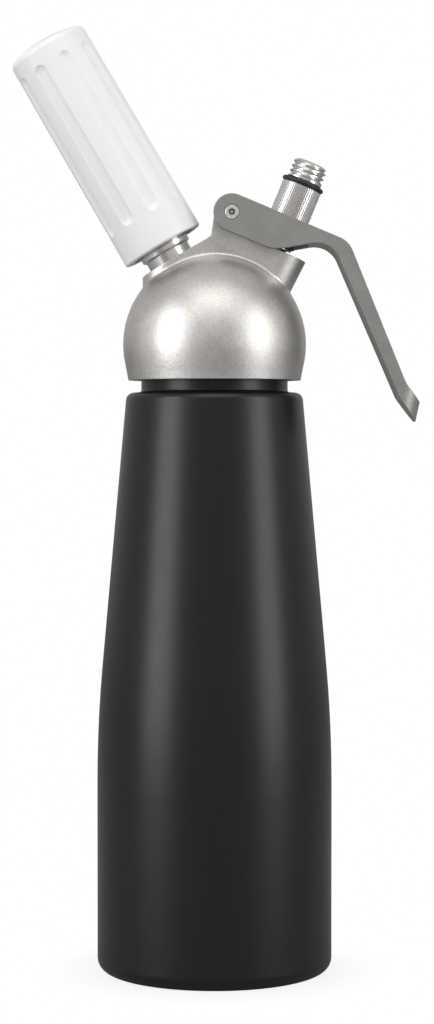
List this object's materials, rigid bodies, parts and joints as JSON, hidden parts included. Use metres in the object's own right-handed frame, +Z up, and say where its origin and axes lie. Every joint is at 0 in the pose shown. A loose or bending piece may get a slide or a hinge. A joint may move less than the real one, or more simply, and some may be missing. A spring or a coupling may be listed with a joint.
{
  "type": "whipped cream dispenser",
  "caption": "Whipped cream dispenser: tapered black bottle, domed metal head with side lever, knurled nozzle thread and an upright leaning white charger holder.",
  "frame": {"origin": "centre of the bottle's flat base", "axes": "+Z up along the bottle's axis, +X towards the lever and nozzle, -X towards the charger holder"},
  "size_m": [0.1377, 0.08, 0.3209],
  "materials": {
    "lacquered_aluminium": "satin black lacquer",
    "silicone": "matte silicone",
    "blasted_aluminium": "satin bead blasted",
    "nickelled_brass": "bright plated",
    "needle_steel": "turned",
    "seal_rubber": "matte",
    "bare_brass": "turned",
    "black_nitrile": "satin",
    "spring_steel": "drawn wire",
    "painted_zinc": "matte grey",
    "pivot_steel": "bright",
    "white_plastic": "satin moulded",
    "liner_aluminium": "turned",
    "charger_steel": "satin zinc plated"
  },
  "bodies": {
    "bottle": {"bottle": "lacquered_aluminium"},
    "gasket": {"head_gasket": "silicone"},
    "head": {"head_casing": "blasted_aluminium", "piercing_stem": "nickelled_brass", "piercing_needle": "needle_steel", "charger_seal": "seal_rubber", "stem_nut": "bare_brass", "check_valve": "seal_rubber", "check_valve_cap": "bare_brass", "valve_bush": "bare_brass", "bush_o_ring": "black_nitrile", "pivot_screw": "pivot_steel", "pivot_sleeve": "pivot_steel", "valve_spring": "spring_steel"},
    "valve": {"valve_stem": "nickelled_brass", "stem_o_ring": "black_nitrile", "valve_seal": "seal_rubber", "seal_nut": "bare_brass", "nozzle_adaptor": "nickelled_brass", "nozzle_o_ring": "black_nitrile"},
    "lever": {"lever": "painted_zinc"},
    "charger": {"gas_charger": "charger_steel", "charger_cap": "charger_steel"},
    "holder": {"holder_sleeve": "white_plastic", "holder_liner": "liner_aluminium", "holder_cushion": "seal_rubber"}
  },
  "joints": [
    {"name": "head_rise", "type": "slide", "parent": "bottle", "child": "gasket", "axis": [0, 0, 1], "range_m": [0, 0.012]},
    {"name": "head_unscrew", "type": "hinge", "parent": "gasket", "child": "head", "pos_m": [0, 0, 0.215], "axis": [0, 0, 1], "range_deg": [0, 1440]},
    {"name": "lever_squeeze", "type": "hinge", "parent": "head", "child": "lever", "pos_m": [0.00583, 0, 0.25752], "axis": [0, 1, 0], "range_deg": [0, 8], "stiffness_Nm_per_rad": 1.5, "springref_deg": -14.32},
    {"name": "valve_stroke", "type": "slide", "parent": "head", "child": "valve", "axis": [-0.3843, 0, -0.9232], "range_m": [0, 0.00258], "deforming": ["valve_spring"]},
    {"name": "charger_travel", "type": "slide", "parent": "head", "child": "charger", "axis": [-0.5045, 0, 0.8634], "range_m": [0, 0.012]},
    {"name": "holder_unscrew", "type": "hinge", "parent": "charger", "child": "holder", "pos_m": [-0.01453, 0, 0.24187], "axis": [-0.5045, 0, 0.8634], "range_deg": [0, 2160]}
  ],
  "couplings": [
    {"joint": "head_rise", "follows": "head_unscrew", "m_per_rad": 0.00047742},
    {"joint": "valve_stroke", "follows": "lever_squeeze", "m_per_rad": 0.0184},
    {"joint": "charger_travel", "follows": "holder_unscrew", "m_per_rad": 0.00031828}
  ]
}
